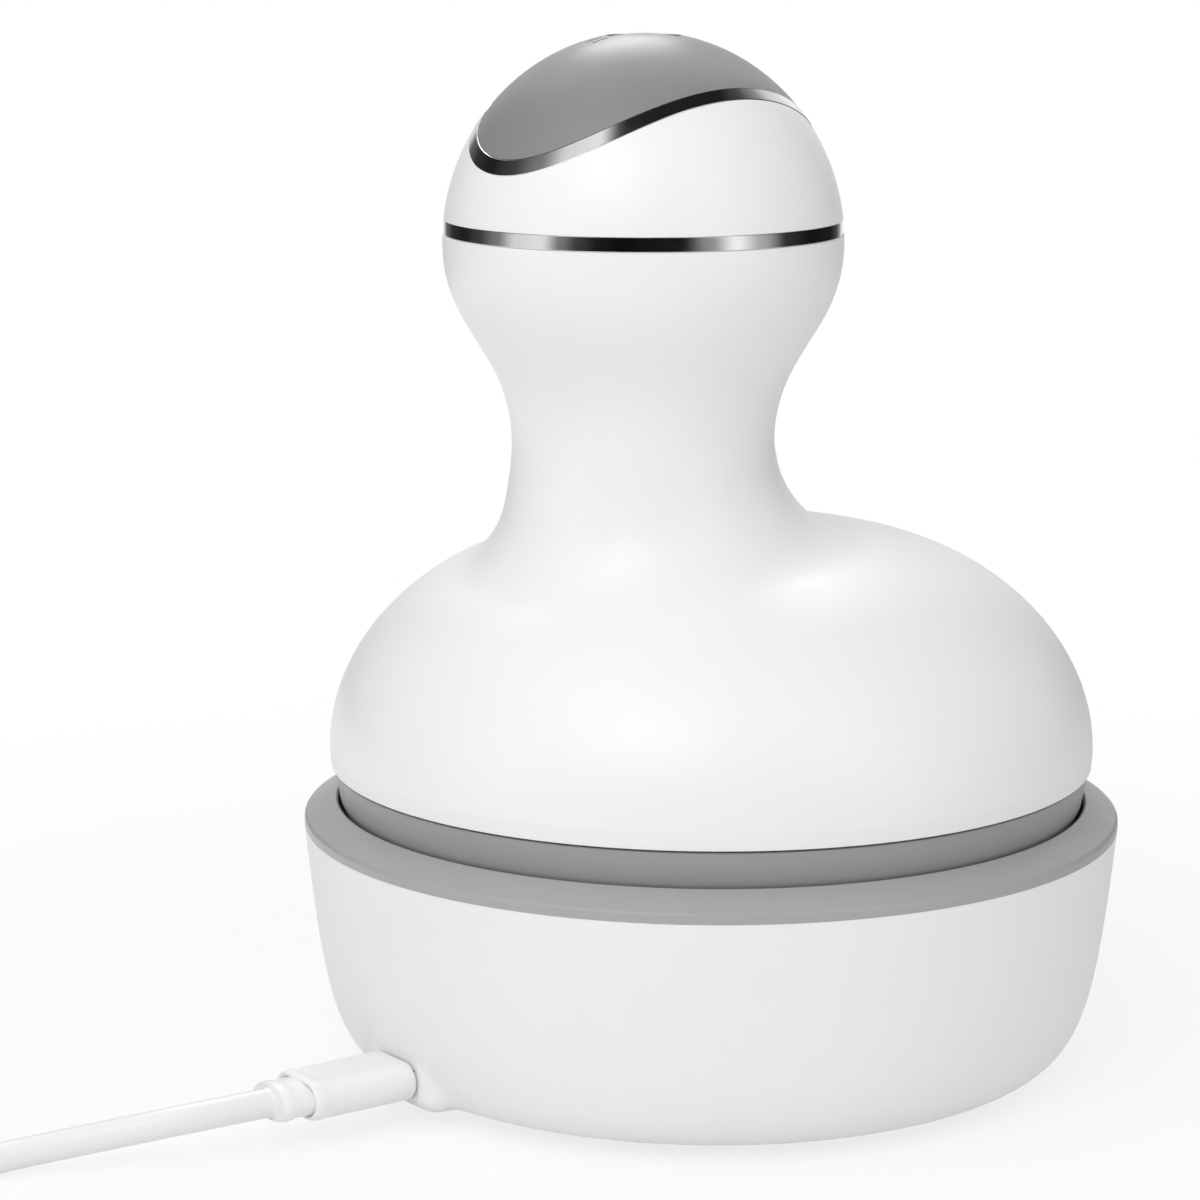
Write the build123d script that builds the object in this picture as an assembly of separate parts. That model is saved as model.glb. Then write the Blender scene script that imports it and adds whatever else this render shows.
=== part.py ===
"""Electric scalp massager standing in its round charging dock, with its charging lead.

Frame: millimetres, +Z up, origin on the floor under the centre of the dock, the charging
socket on the -X side. The massager is a ball-shaped handle on a domed body. Four finger
pads under the body are geared together and turn in opposite directions, two by two.
"""
import os
from math import acos, atan2, cos, degrees, pi, radians, sin, sqrt, tan

from build123d import *

os.makedirs("parts", exist_ok=True)

# ---- driving dimensions: massager ----------------------------------------------------------
seat_turn = 5.0             # degrees the massager is turned in its round dock
body_radius = 50.5          # widest radius of the white body
body_height = 28.4          # from the widest level up to the top of the dome
dome_side = 23.0            # how far the dome's side pulls its outline straight up
dome_flat = 22.6            # how far its flat top pulls the outline outward
dome_side_pull = 1.8        # weights of those two pulls on the outline
dome_flat_pull = 4.4
body_lift = 13.0            # widest level over the ledge that the massager stands on
body_skirt = 2.2            # how far the white shell reaches below its widest level
seam_gap = 0.35
shell_wall = 2.0
handle_offset = 12.2
neck_radius = 16.9
neck_lift = 13.1            # narrowest level of the neck over the top of the dome
neck_blend = 14.5
ball_radius = 25.65
ball_lift = 25.3            # widest level of the ball over the neck's narrowest level
ball_rise = 26.7            # from that level to the top of the ball
ball_wall = 2.2
belt_lift = 1.25            # belt's lower edge over the ball's widest level
belt_width = 1.9
belt_recess = 0.2
spigot_wall = 1.3           # the collar inside the ball that carries belt and ball shell
spigot_gap = 0.15
spigot_reach = 2.5          # how far the collar stands over the belt
trim_lift = 15.56           # mean height of the wavy trim over the ball's widest level
trim_width = 1.82
trim_wave = 0.01026         # height of the wave, per square millimetre of offset
trim_wave_top = 0.0106
collar_step = 0.5           # collar's top edge inside the body's widest radius
collar_taper = 0.8          # from its top edge in to the level of the dock's rim
collar_draw = 2.6           # from there in to its lower edge
collar_wall = 1.9
lap_gap = 0.35              # the collar's inner lap inside the body shell
lap_wall = 1.15
lap_height = 5.0
flange_width = 3.8          # the collar's inward flange, which stands on the ledge
flange_thickness = 1.2
plate_gap = 0.3
plate_thickness = 2.2
contact_boss_radius = 7.6
contact_boss_drop = 2.7
contact_radius = 2.0
contact_ring_width = 1.8
contact_depth = 0.6
contact_proud = 0.05
button_radius = 4.5
button_gap = 0.3
button_travel = 0.5
button_flange = 1.2
button_flange_thickness = 0.8
button_play = 0.35          # between the button's flange and the cap above it
button_stem_radius = 1.6
button_stem = 0.85
button_recess = 0.12        # the button's top under the surface of the ball
light_length = 2.2
light_width = 0.6
light_spacing = 1.8
light_radius = 6.6
light_angle = 166.0
light_gap = 0.03

# ---- driving dimensions: dock ------------------------------------------------------------
ledge_height = 30.0         # the massager stands on this ledge
ledge_width = 3.4
ledge_play = 0.8            # between the collar's lower edge and the wall round the ledge
rim_gap = 0.6               # between the collar and the rim's inner edge
rim_width = 4.2
rim_base_lift = 2.65        # where the bowl ends and the grey rim starts, over the ledge
rim_lift = 6.1              # top of the rim over the ledge
rim_band = 1.25             # height of the rim's outer band
rim_skin = 0.4
dock_wall = 2.2
dock_clearance = 1.3        # height of the shell's edge over the floor
bowl_draw = 13.1            # lower edge of the bowl inside its widest radius
bowl_bottom_pull = 9.0      # how far the bowl's outline is pulled out along the ground
bowl_side_pull = 25.7       # and down along its side, which leans in by a share of it
bowl_side_lean = 0.098
foot_radius = 4.0
foot_height = 0.9
foot_inset = 7.5            # centres of feet and base screws inside the base plate's edge
base_inset = 13.5           # edge of the base plate inside the bowl's widest radius
base_thickness = 1.5
base_lip = 2.5
base_gap = 0.2
tray_floor = 11.0
tray_wall = 2.0
tray_flange = 2.4
tray_gap = 0.2
screw_post_radius = 3.0
post_radius = 7.2
pin_radius = 0.55
pin_reach = 0.9             # how far a contact pin stands out of the post
pin_offset = 5.5            # second contact pin, under the contact ring
pin_travel = 0.8
pin_gap = 0.35              # between a pin's tip and the contact over it
barrel_radius = 1.0
barrel_length = 10.6
barrel_proud = 0.3

# ---- driving dimensions: charging socket and lead -----------------------------------------
socket_height = 6.1
boss_setback = 3.8          # front of the boss inside the bowl's widest radius
boss_width = 15.0
boss_corner = 3.0
boss_depth = 20.0
boss_top = 14.0
boss_bottom = 2.0           # height of its underside over the floor
boss_edge = 2.2
boss_blend = 4.0            # soft transition between the boss and the bowl
socket_width = 7.5
socket_thickness = 2.5
socket_length = 5.6
socket_inset = 0.4
socket_gap = 0.2
tip_gap = 0.05
board_inset = 5.6
board_reach = 10.0
board_half_width = 10.5
standoff_radius = 1.8
standoff_inset = 1.5
plug_gap = 0.3
plug_width = 10.3
plug_thickness = 5.0
plug_length = 14.8
collar_width = 8.6
collar_thickness = 4.5
collar_length = 4.0
tip_width = 6.85
tip_thickness = 1.8
tip_length = 5.0
cord_diameter = 3.7
coil_centre = (-127.0, 32.6)
coil_outer_turn = 24.6      # radius of the outermost turn's centre line
coil_inner_turn = 12.9
coil_layers = 2
coil_turns = 6.25
tie_wall = 0.8
tie_length = 5.0
usb_shell_width = 12.0
usb_shell_thickness = 4.5
usb_shell_length = 14.0
usb_shell_wall = 0.35
usb_tongue_height = 2.1
usb_grip_width = 15.4
usb_grip_thickness = 7.6
usb_grip_length = 25.0
relief_width = 7.2
relief_thickness = 5.6
relief_length = 6.5
floor_gap = 0.05            # what lies on the floor is this far over it

# ---- driving dimensions: heads and drive ---------------------------------------------------
gear_module = 1.5
head_teeth = 24
gear_width = 4.0
gear_clearance = 1.8        # between the face plate and the head gears
gear_layer_gap = 0.8
gear_hub_wall = 2.2
drive_module = 0.8
drive_wheel_teeth = 40
drive_pinion_teeth = 10
drive_width = 3.0
motor_module = 0.6
reduction_teeth = 40
motor_pinion_teeth = 10
motor_gear_width = 2.4
shaft_radius = 3.0
running_gap = 0.05
bush_wall = 1.4
bush_flange = 1.4
bush_flange_thickness = 0.8
bush_proud = 0.6
chassis_thickness = 2.0
chassis_gap = 1.5
chassis_play = 1.6          # chassis plate inside the body shell's widest inner radius
post_circle = 36.0
chassis_post_radius = 3.2
motor_radius = 12.0
motor_headroom = 1.2        # between the motor's top edge and the body shell over it
dome_fall = 1.2             # how far the dome has fallen over the motor's outer edge
motor_shaft_radius = 1.0
motor_boss_radius = 4.0
motor_seat_wall = 1.2
motor_seat_height = 3.0
axle_radius = 1.5
pad_play = 1.95             # between the outermost reach of a pad and the ledge round it
pad_thickness = 2.6
pad_gap = 3.2               # between the pad and the underside of the face plate
pad_hub_radius = 6.0
pad_hub_height = 1.6
finger_length = 12.0
finger_root = 2.3
finger_tip = 1.5
outer_fingers = 8
finger_inset = 3.2          # outer ring of fingers inside the pad's edge
inner_fingers = 4
inner_finger_circle = 6.6
battery_radius = 9.2
battery_length = 65.0
battery_cap_radius = 2.8
battery_cap = 1.0
cradle_wall = 1.6
cradle_gap = 0.2
cradle_opening = 2.0        # the cradle is open from here towards the motor
board_thickness = 1.2
board_radius = 12.5
switch_half_width = 3.0
switch_body = 2.8
switch_height = 3.6
switch_gap = 0.1
screw_radius = 1.25
screw_head_radius = 2.4
screw_head_height = 1.2
screw_gap = 0.1

# ---- derived places -------------------------------------------------------------------------
body_level = ledge_height + body_lift
body_top = body_level + body_height
seam_height = body_level - body_skirt
neck_height = body_top + neck_lift
ball_height = neck_height + ball_lift
belt_height = ball_height + belt_lift
trim_level = ball_height + trim_lift
trim_level_top = trim_level + trim_width
above_all = ball_height + 2 * ball_rise
aside = 2 * body_radius
collar_top_radius = body_radius - collar_step
collar_mid_radius = collar_top_radius - collar_taper
collar_base_radius = collar_mid_radius - collar_draw
flange_inner_radius = collar_base_radius - flange_width
rim_inner_radius = collar_mid_radius + rim_gap
dock_radius = rim_inner_radius + rim_width
ledge_outer_radius = collar_base_radius + ledge_play
ledge_inner_radius = ledge_outer_radius - ledge_width
rim_base = ledge_height + rim_base_lift
rim_top = ledge_height + rim_lift
base_radius = dock_radius - base_inset
foot_circle = base_radius - foot_inset
base_screw_circle = foot_circle
socket_face = boss_setback - dock_radius
flange_height = ledge_height
plate_height = flange_height + flange_thickness
plate_top = plate_height + plate_thickness
plate_radius = collar_base_radius - collar_wall - plate_gap
gear_level = plate_top + gear_clearance
head_pitch = gear_module * head_teeth / 2
head_places = [(head_pitch, head_pitch), (-head_pitch, head_pitch),
               (-head_pitch, -head_pitch), (head_pitch, -head_pitch)]
pad_radius = ledge_inner_radius - pad_play - sqrt(2) * head_pitch
outer_finger_circle = pad_radius - finger_inset
drive_level = gear_level + gear_width + gear_layer_gap
motor_gear_level = drive_level + drive_width + gear_layer_gap
chassis_height = motor_gear_level + motor_gear_width + chassis_gap
chassis_top = chassis_height + chassis_thickness
drive_distance = drive_module * (drive_wheel_teeth + drive_pinion_teeth) / 2
driven_head = head_places[2]
reduction_reach = (sqrt(2) * head_pitch - drive_distance) / sqrt(2)
reduction_place = (-reduction_reach, -reduction_reach)
motor_distance = motor_module * (reduction_teeth + motor_pinion_teeth) / 2
motor_place = (reduction_place[0] + sqrt(motor_distance ** 2 - reduction_place[1] ** 2), 0.0)
motor_length = body_top - shell_wall - dome_fall - motor_headroom - chassis_top
flange_share = (button_radius + button_flange) / (ball_radius - ball_wall)
crown_under = ball_height + (ball_rise - ball_wall) * sqrt(1 - flange_share ** 2)
flange_low = crown_under - button_play - button_flange_thickness
button_base = flange_low - button_stem
switch_base = button_base - button_travel - switch_gap - switch_height
board_height = switch_base - board_thickness
battery_base = board_height - cradle_wall - battery_length
contact_face = plate_height - contact_boss_drop
post_height = contact_face - contact_proud - pin_gap - pin_reach
pad_top = plate_height - pad_gap
handle_place = Pos(-handle_offset, 0, 0)

nodes = {}
massager_nodes = []


def keep(name, solid):
    """Record one piece under its name."""
    nodes[name] = solid


def keep_on_massager(name, solid):
    """Record one piece of the massager, turned in the dock with the rest of it."""
    massager_nodes.append(name)
    keep(name, Rot(0, 0, seat_turn) * solid)


def disc(radius, low, high, x=0.0, y=0.0):
    """Upright cylinder between two heights."""
    return Pos(x, y, (low + high) / 2) * Cylinder(radius, high - low)


def ring(outer, inner, low, high, x=0.0, y=0.0):
    """Upright tube between two heights."""
    return disc(outer, low, high, x, y) - disc(inner, low - 1, high + 1, x, y)


def slab(low, high):
    """Everything between two heights."""
    return Pos(0, 0, (low + high) / 2) * Box(2 * aside, 2 * aside, high - low)


def block(x0, x1, y0, y1, z0, z1):
    """Box between two corners."""
    return Pos((x0 + x1) / 2, (y0 + y1) / 2, (z0 + z1) / 2) * Box(x1 - x0, y1 - y0, z1 - z0)


def turned(points):
    """Solid turned about the Z axis from a closed outline of (radius, height) points."""
    return revolve(Plane.XZ * make_face(Polyline(*points, close=True)), Axis.Z)


def on_circle(count, radius, start=0.0):
    """Evenly spaced places on a circle about the Z axis."""
    angles = [radians(start + 360 * i / count) for i in range(count)]
    return [(radius * cos(a), radius * sin(a)) for a in angles]


def quarter_ellipse(semi_width, semi_height, level):
    """Elliptical outline from the widest level to the axis, as one rational curve."""
    return Bezier((semi_width, level), (semi_width, level + semi_height),
                  (0, level + semi_height), weights=[1, sqrt(0.5), 1])


def saddle_above(level, wave):
    """Everything above the saddle z = level - wave * (x^2 - y^2) about the handle axis."""
    reach = 1.5 * ball_radius
    rise = 2 * wave * reach ** 2
    corners = [(reach, reach, level + rise), (-reach, reach, level - rise),
               (-reach, -reach, level + rise), (reach, -reach, level - rise)]
    saddle = Face.make_surface_from_curves(Edge.make_line(corners[0], corners[1]),
                                           Edge.make_line(corners[3], corners[2]))
    above = Solid.extrude(saddle, Vector(0, 0, 3 * ball_rise))
    return handle_place * (Rot(0, 0, 45) * above)


def involute_gear(teeth, module, width, low, bore, phase):
    """Spur gear with involute flanks and a little backlash; one tooth points at phase."""
    pitch = module * teeth / 2
    base = pitch * cos(radians(20))
    tip = pitch + 0.9 * module
    root = pitch - 1.2 * module
    half_tooth = degrees(0.46 * pi / teeth)
    roll_at_pitch = degrees(tan(radians(20)) - radians(20))

    def flank(radius):
        """Half the angle of the tooth at a radius."""
        if radius <= base:
            return half_tooth + roll_at_pitch
        pressure = acos(base / radius)
        return half_tooth + roll_at_pitch - degrees(tan(pressure) - pressure)

    steps = 4
    start = max(root, base)
    radii = [start + (tip - start) * i / steps for i in range(steps + 1)]
    if root < base:
        radii = [root] + radii
    tooth = [(r, -flank(r)) for r in radii] + [(r, flank(r)) for r in reversed(radii)]
    outline = []
    for i in range(teeth):
        turn = phase + 360 * i / teeth
        outline += [(r * cos(radians(turn + a)), r * sin(radians(turn + a))) for r, a in tooth]
    gear = extrude(make_face(Polyline(*outline, close=True)), width)
    return Pos(0, 0, low) * gear - disc(bore, low - 1, low + width + 1)


def stadium(width, thickness, length):
    """Flat bar with round sides, lying along X from 0 to length."""
    return extrude(Plane.YZ * SlotOverall(width, thickness), length)


# ---- dock --------------------------------------------------------------------------------
def bowl(inset, low, high):
    """The dock's turned bowl, inset from its outer surface by a wall."""
    waist = dock_radius - inset
    foot = waist - bowl_draw
    wall = Bezier((foot, low), (foot + bowl_bottom_pull, low),
                  (waist - bowl_side_lean * bowl_side_pull, high - bowl_side_pull),
                  (waist, high))
    outline = [wall, Line((waist, high), (0, high)), Line((0, high), (0, low)),
               Line((0, low), (foot, low))]
    return revolve(Plane.XZ * make_face(outline), Axis.Z)


def dock_shell():
    outer = bowl(0, dock_clearance, rim_base)
    boss = block(socket_face, socket_face + boss_depth, -boss_width / 2, boss_width / 2,
                 boss_bottom, boss_top)
    boss = fillet(boss.edges().group_by(Axis.X)[0].filter_by(Axis.Z), boss_corner)
    boss = fillet(boss.faces().sort_by(Axis.Z)[0].edges().group_by(Axis.X)[0], boss_edge)
    shell = outer + boss
    shell = fillet(new_edges(outer, boss, combined=shell), boss_blend)
    shell -= bowl(dock_wall, dock_clearance + dock_wall, rim_base + 0.01)
    shell -= disc(base_radius + base_gap, 0, foot_height + base_thickness)
    shell -= disc(base_radius - base_lip, 0, 2 * dock_wall)
    shell -= block(socket_face - 1, socket_face + 3 * dock_wall + socket_length,
                   -socket_width / 2 - socket_gap, socket_width / 2 + socket_gap,
                   socket_height - socket_thickness / 2 - socket_gap,
                   socket_height + socket_thickness / 2 + socket_gap)
    return shell


keep("dock_shell", dock_shell())
plate_low = foot_height
base_places = on_circle(4, base_screw_circle, 45)
keep("dock_base_plate",
     disc(base_radius, plate_low, plate_low + base_thickness)
     - [disc(screw_radius + screw_gap, 0, tray_floor, x, y) for x, y in base_places]
     - [disc(screw_head_radius + screw_gap, 0, plate_low + screw_head_height - 0.3, x, y)
        for x, y in base_places])
for i, (x, y) in enumerate(on_circle(4, foot_circle), 1):
    foot = disc(foot_radius, 0, foot_height, x, y)
    keep(f"foot_{i}", fillet(foot.edges().group_by(Axis.Z)[0], 0.3))

flange_radius = dock_radius - dock_wall - tray_gap
flange_top = rim_base + 0.55
tray_low = tray_floor - tray_wall
tray_outer = ledge_inner_radius + tray_wall
keep("dock_ledge", turned([(tray_outer, tray_floor), (tray_outer, ledge_height - 2.5),
                           (rim_inner_radius - 0.8, flange_top - tray_flange),
                           (flange_radius, flange_top - tray_flange),
                           (flange_radius, flange_top), (rim_inner_radius - rim_skin, flange_top),
                           (ledge_outer_radius, ledge_height), (ledge_inner_radius, ledge_height),
                           (ledge_inner_radius, tray_floor)]))
tray = disc(tray_outer, tray_low, tray_floor)
tray += disc(post_radius, tray_floor - 0.5, post_height)
tray += [disc(screw_post_radius, plate_low + base_thickness, tray_floor - 0.5, x, y)
         for x, y in base_places]
tray -= [disc(screw_radius, 0, tray_low, x, y) for x, y in base_places]
board_top = socket_height + socket_thickness / 2 + board_thickness
standoffs = [(x, side * (board_half_width - standoff_inset)) for side in (1, -1)
             for x in (socket_face + 2 * board_inset + standoff_inset,
                       board_reach - board_inset)]
tray += [disc(standoff_radius, board_top, tray_floor - 0.5, x, y) for x, y in standoffs]
tray -= [disc(barrel_radius + 0.02, 0, post_height + 1, x) for x in (0, pin_offset)]
keep("dock_tray", tray)

keep("dock_rim", turned([(rim_inner_radius, rim_top), (dock_radius, rim_base + rim_band),
                         (dock_radius, rim_base), (flange_radius + tray_gap, rim_base),
                         (flange_radius + tray_gap, flange_top),
                         (rim_inner_radius - rim_skin, flange_top),
                         (rim_inner_radius - 0.3, rim_top - rim_skin)]))


def screws(places, head_low, thread_top):
    """Cross-head screws standing head down, as one set."""
    set_of_screws = []
    for x, y in places:
        screw = disc(screw_head_radius, head_low, head_low + screw_head_height, x, y)
        screw += disc(screw_radius, head_low, thread_top, x, y)
        cross = [Pos(x, y, head_low) * Rot(0, 0, a)
                 * Box(1.25 * screw_head_radius, 0.3 * screw_head_radius, screw_head_height)
                 for a in (0, 90)]
        set_of_screws.append(screw - cross)
    return Compound(set_of_screws)


keep("base_screws", screws(base_places, plate_low - 0.3, tray_low - 0.5))

keep("dock_board", block(socket_face + board_inset, board_reach, -board_half_width,
                         board_half_width, board_top - board_thickness, board_top))
socket = block(socket_face + socket_inset, socket_face + socket_inset + socket_length,
               -socket_width / 2, socket_width / 2, socket_height - socket_thickness / 2,
               socket_height + socket_thickness / 2)
socket -= block(socket_face - 1, socket_face + socket_length, -tip_width / 2 - tip_gap,
                tip_width / 2 + tip_gap, socket_height - tip_thickness / 2 - tip_gap,
                socket_height + tip_thickness / 2 + tip_gap)
keep("charging_socket", socket)

barrel_top = post_height + barrel_proud
barrel_low = barrel_top - barrel_length
keep("contact_barrels", Compound([ring(barrel_radius, pin_radius + running_gap, barrel_low,
                                       barrel_top, x) for x in (0.0, pin_offset)]))
for name, x in (("contact_pin_centre", 0.0), ("contact_pin_ring", pin_offset)):
    pin = disc(pin_radius, barrel_low + pin_travel + 1, post_height + pin_reach, x)
    keep(name, fillet(pin.edges().group_by(Axis.Z)[-1], 0.3))


# ---- massager shells -----------------------------------------------------------------------
def handle(inset):
    """Neck and ball of the handle about their own axis, inset by a wall."""
    widest, waist = ball_radius, neck_radius
    radii = [(widest, ball_height), (widest - 2.2, ball_height - 0.348 * ball_lift),
             (waist + 2.0, neck_height + 0.34 * ball_lift), (waist, neck_height),
             (waist + 1.2, neck_height - 9.5), (waist + 3.4, neck_height - 18.5)]
    points = [(r - inset, z) for r, z in radii]
    side = Spline(*points, tangents=[(0, -1), (0.3, -1)])
    crown = quarter_ellipse(ball_radius - inset, ball_rise - inset, ball_height)
    outline = [crown, side, Line(crown @ 1, (0, points[-1][1])),
               Line((0, points[-1][1]), points[-1])]
    return handle_place * revolve(Plane.XZ * make_face(outline), Axis.Z)


def dome(inset):
    """Body of the massager, flatter on top than an ellipse, inset by a wall."""
    width, height = body_radius - inset, body_height - inset
    top = body_level + height
    above = Bezier((width, body_level), (width, body_level + dome_side - inset),
                   (dome_flat - inset, top), (0, top),
                   weights=[1, dome_side_pull, dome_flat_pull, 1])
    below = quarter_ellipse(width, -height, body_level)
    return revolve(Plane.XZ * make_face([above, below, Line(above @ 1, below @ 1)]), Axis.Z)


ball_outer = handle(0)
ball_inner = handle(ball_wall)
dome_outer = dome(0) & slab(seam_height, above_all)
dome_inner = dome(shell_wall)
lower_handle = ball_outer & slab(body_level, belt_height)
body = dome_outer + lower_handle
body = fillet(new_edges(dome_outer, lower_handle, combined=body), neck_blend)
spigot = handle(ball_wall + spigot_gap)
spigot_bore = handle(ball_wall + spigot_gap + spigot_wall)
body -= dome_inner + (ball_inner & slab(body_level, belt_height - 3))
body -= spigot_bore & slab(belt_height - 3.1, belt_height + 1)
spigot_top = belt_height + belt_width + spigot_reach
body += (spigot - spigot_bore) & slab(belt_height - 1, spigot_top)
keep_on_massager("body_shell", body)
keep_on_massager("belt_ring", handle_place
                 * ring(ball_radius - belt_recess, ball_radius - ball_wall,
                        belt_height, belt_height + belt_width))

ball_shell = (ball_outer - ball_inner) & slab(belt_height + belt_width, above_all)
above_trim = saddle_above(trim_level_top, trim_wave_top)
above_lower = saddle_above(trim_level, trim_wave)
keep_on_massager("ball_shell", ball_shell - above_lower)
keep_on_massager("wave_trim", (ball_shell & above_lower) - above_trim)
light_turn = handle_place * Rot(0, 0, light_angle)
light_places = [Pos(light_radius, side * light_spacing / 2, ball_height + ball_rise)
                for side in (-1, 1)]
light_depth = 3 * ball_wall
light_slots = [light_turn * place * Box(light_length, light_width, light_depth)
               for place in light_places]
cap_hole = handle_place * disc(button_radius + button_gap, ball_height, above_all)
keep_on_massager("top_cap", (ball_shell & above_trim) - cap_hole - light_slots)
light_skin = handle(light_gap) - ball_inner
light_bars = [light_turn * place * Box(light_length - 2 * light_gap, light_width - 2 * light_gap,
                                       light_depth) for place in light_places]
keep_on_massager("indicator_lights", Compound([light_skin & bar for bar in light_bars]))

button = handle_place * disc(button_radius, flange_low, above_all) & handle(button_recess)
button += handle_place * disc(button_radius + button_flange, flange_low,
                              flange_low + button_flange_thickness)
button += handle_place * disc(button_stem_radius, button_base, flange_low + 0.1)
keep_on_massager("power_button", button)

collar_top = seam_height - seam_gap
collar_outline = [(collar_top_radius, collar_top), (collar_mid_radius, rim_top),
                  (collar_base_radius, flange_height), (flange_inner_radius, flange_height),
                  (flange_inner_radius, plate_height),
                  (collar_base_radius - collar_wall, plate_height),
                  (collar_mid_radius - collar_wall, rim_top),
                  (collar_top_radius - collar_wall, collar_top)]
collar = turned(collar_outline)
lap_radius = body_radius - shell_wall - lap_gap
collar += ring(lap_radius, lap_radius - lap_wall, collar_top - lap_height / 2,
               collar_top + lap_height / 2)
keep_on_massager("collar", collar)

plate = disc(plate_radius, plate_height, plate_top)
plate += disc(contact_boss_radius, contact_face, plate_height + 0.5)
bush_radius = shaft_radius + running_gap + bush_wall
plate_screw_places = on_circle(4, post_circle)
plate -= [disc(bush_radius, 0, gear_level, x, y) for x, y in head_places]
plate -= [disc(screw_radius + screw_gap, 0, gear_level, x, y) for x, y in plate_screw_places]
plate -= [disc(screw_head_radius + screw_gap, 0, plate_height + screw_head_height, x, y)
          for x, y in plate_screw_places]
contact_ring_outer = pin_offset + contact_ring_width / 2
contact_ring_inner = contact_ring_outer - contact_ring_width
contact_top = contact_face + contact_depth
plate -= disc(contact_radius, contact_face - 1, contact_top)
plate -= ring(contact_ring_outer, contact_ring_inner, contact_face - 1, contact_top)
keep_on_massager("face_plate", plate)
contact_low = contact_face - contact_proud
keep_on_massager("contact_centre", disc(contact_radius, contact_low, contact_top))
keep_on_massager("contact_ring", ring(contact_ring_outer, contact_ring_inner, contact_low,
                                      contact_top))

bushes = []
for x, y in head_places:
    bush = ring(bush_radius, shaft_radius + running_gap, plate_height - bush_proud, plate_top,
                x, y)
    bush += ring(bush_radius + bush_flange, shaft_radius + running_gap, plate_top,
                 plate_top + bush_flange_thickness, x, y)
    bushes.append(bush)
keep_on_massager("shaft_bushes", Compound(bushes))
screw_depth = 6.0
keep_on_massager("plate_screws", screws(plate_screw_places, plate_height,
                                        plate_top + screw_depth))


# ---- chassis, motor, battery, board -----------------------------------------------------------
chassis = disc(body_radius - shell_wall - chassis_play, chassis_height, chassis_top)
chassis += [disc(chassis_post_radius, plate_top, chassis_height + 0.5, x, y)
            for x, y in plate_screw_places]
chassis -= [disc(screw_radius, 0, plate_top + screw_depth + 1, x, y)
            for x, y in plate_screw_places]
chassis -= [disc(shaft_radius + running_gap, 0, 2 * chassis_top, x, y) for x, y in head_places]
chassis -= disc(motor_boss_radius + screw_gap, 0, 2 * chassis_top, *motor_place)
chassis -= disc(axle_radius, 0, 2 * chassis_top, *reduction_place)
motor_seat_inner = motor_radius + 0.1
motor_seat = ring(motor_seat_inner + motor_seat_wall, motor_seat_inner, chassis_top - 0.5,
                  chassis_top + motor_seat_height, *motor_place)
battery_side = block(-aside, -2.5, -aside, aside, 0, above_all)
chassis += motor_seat - battery_side
keep_on_massager("chassis_plate", chassis)
keep_on_massager("reduction_axle", disc(axle_radius, drive_level - 0.4, chassis_top,
                                        *reduction_place))

motor = disc(motor_radius, chassis_top, chassis_top + motor_length, *motor_place)
motor = fillet(motor.edges().group_by(Axis.Z)[-1], 1.0)
motor += disc(motor_boss_radius, chassis_height + 0.4, chassis_top + 0.5, *motor_place)
shaft_top = chassis_top + 6
motor -= disc(motor_shaft_radius + running_gap, 0, shaft_top + 2, *motor_place)
keep_on_massager("motor_can", motor)

cell_x = -handle_offset
battery_top = battery_base + battery_length
cell = disc(battery_radius, battery_base, battery_top - battery_cap, cell_x)
cell += disc(battery_cap_radius, battery_top - battery_cap - 0.5, battery_top, cell_x)
keep_on_massager("battery_cell", cell)
cradle_bore = battery_radius + cradle_gap
cradle = ring(cradle_bore + cradle_wall, cradle_bore, battery_base - 1, board_height - 0.5,
              cell_x)
cradle += disc(cradle_bore + cradle_wall, chassis_top, battery_base, cell_x)
cradle -= block(cell_x + cradle_opening, aside, -aside, aside, 0, above_all)
cradle += disc(board_radius - 1.0, board_height - cradle_wall, board_height, cell_x)
keep_on_massager("battery_cradle", cradle)
keep_on_massager("control_board", disc(board_radius, board_height, switch_base, cell_x))
switch = block(cell_x - switch_half_width, cell_x + switch_half_width, -switch_half_width,
               switch_half_width, switch_base, switch_base + switch_body)
switch += disc(button_stem_radius + 0.1, switch_base + switch_body - 0.3,
               switch_base + switch_height, cell_x)
keep_on_massager("tact_switch", switch)

# ---- rotor, reduction gear, heads --------------------------------------------------------------
motor_dir = degrees(atan2(motor_place[1] - reduction_place[1],
                          motor_place[0] - reduction_place[0]))
rotor = Pos(*motor_place, 0) * involute_gear(motor_pinion_teeth, motor_module, motor_gear_width,
                                             motor_gear_level, 0.0001, motor_dir + 180)
rotor += disc(motor_shaft_radius, motor_gear_level - 0.3, shaft_top, *motor_place)
keep_on_massager("motor_rotor", rotor)

gap_turn = 180 / reduction_teeth
wheel = involute_gear(reduction_teeth, motor_module, motor_gear_width, motor_gear_level,
                      axle_radius + running_gap, motor_dir + gap_turn)
pinion = involute_gear(drive_pinion_teeth, drive_module, drive_width + gear_layer_gap,
                       drive_level, axle_radius + running_gap, 225)
keep_on_massager("reduction_gear", Pos(*reduction_place, 0) * (wheel + pinion))


def finger(x, y, low, high):
    """Tapered silicone finger with a round tip."""
    cone_low = low + finger_tip
    taper = Pos(x, y, (cone_low + high) / 2) * Cone(finger_tip, finger_root, high - cone_low)
    return taper + Pos(x, y, cone_low) * Sphere(finger_tip)


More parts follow.
